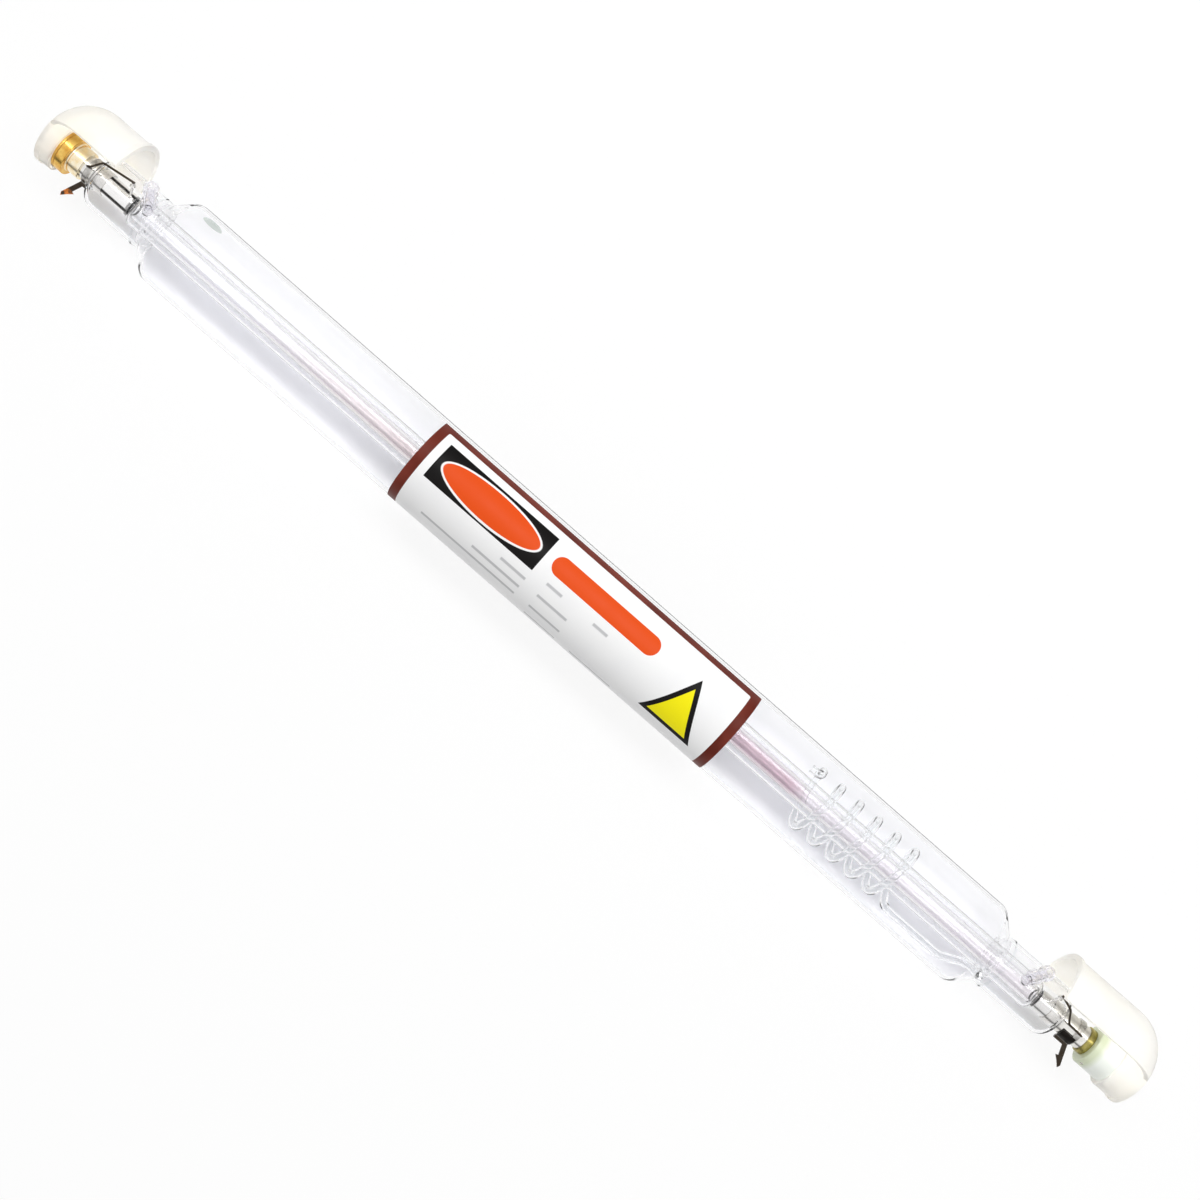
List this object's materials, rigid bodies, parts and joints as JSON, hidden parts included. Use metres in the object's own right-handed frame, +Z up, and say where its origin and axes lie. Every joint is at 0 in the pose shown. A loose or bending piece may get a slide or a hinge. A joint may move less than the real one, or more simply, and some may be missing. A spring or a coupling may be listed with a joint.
{
  "type": "co2 laser tube",
  "caption": "Sealed water-cooled glass CO2 laser tube with a return coil, metal mirror and lens mounts, hose nozzles and cut-away moulded end hoods.",
  "frame": {"origin": "on the optical axis, midway between the outer faces of the two hoods", "axes": "+X along the optical axis towards the output lens, +Z up, +Y to the side that the hoods cover"},
  "size_m": [0.75, 0.0566, 0.0561],
  "materials": {
    "clear_glass": "clear, fire polished",
    "nickel_steel": "bright drawn",
    "dark_spring_wire": "dull, darkened",
    "gold_brass": "turned, gold coloured",
    "olive_brass": "turned, olive gold",
    "gold_coating": "gold coated",
    "grey_metal": "turned",
    "pale_collar": "pale satin",
    "amber_lens": "polished",
    "black_seal": "matt",
    "milky_hood": "moulded, milky, satin",
    "label_sheet": "printed sheet"
  },
  "bodies": {
    "root": {"cap_screws": "nickel_steel", "discharge_tube": "clear_glass", "exhaust_seal": "clear_glass", "front_bulkhead": "clear_glass", "front_electrode": "nickel_steel", "front_flange": "olive_brass", "front_hood": "milky_hood", "front_nozzle": "clear_glass", "front_pin": "nickel_steel", "front_sleeve": "nickel_steel", "front_terminal_clip": "dark_spring_wire", "front_terminal_wire": "dark_spring_wire", "glass_jacket": "clear_glass", "label": "label_sheet", "lens_collar": "pale_collar", "lens_retainer": "grey_metal", "lens_seal": "black_seal", "mirror_seal": "black_seal", "output_lens": "amber_lens", "rear_bulkhead": "clear_glass", "rear_cap": "grey_metal", "rear_electrode": "nickel_steel", "rear_hood": "milky_hood", "rear_mirror": "gold_coating", "rear_mount": "gold_brass", "rear_nozzle": "clear_glass", "rear_pin": "nickel_steel", "rear_sleeve": "nickel_steel", "rear_terminal_clip": "dark_spring_wire", "rear_terminal_wire": "dark_spring_wire", "return_coil": "clear_glass", "set_screws": "nickel_steel", "water_jacket": "clear_glass"}
  },
  "joints": []
}
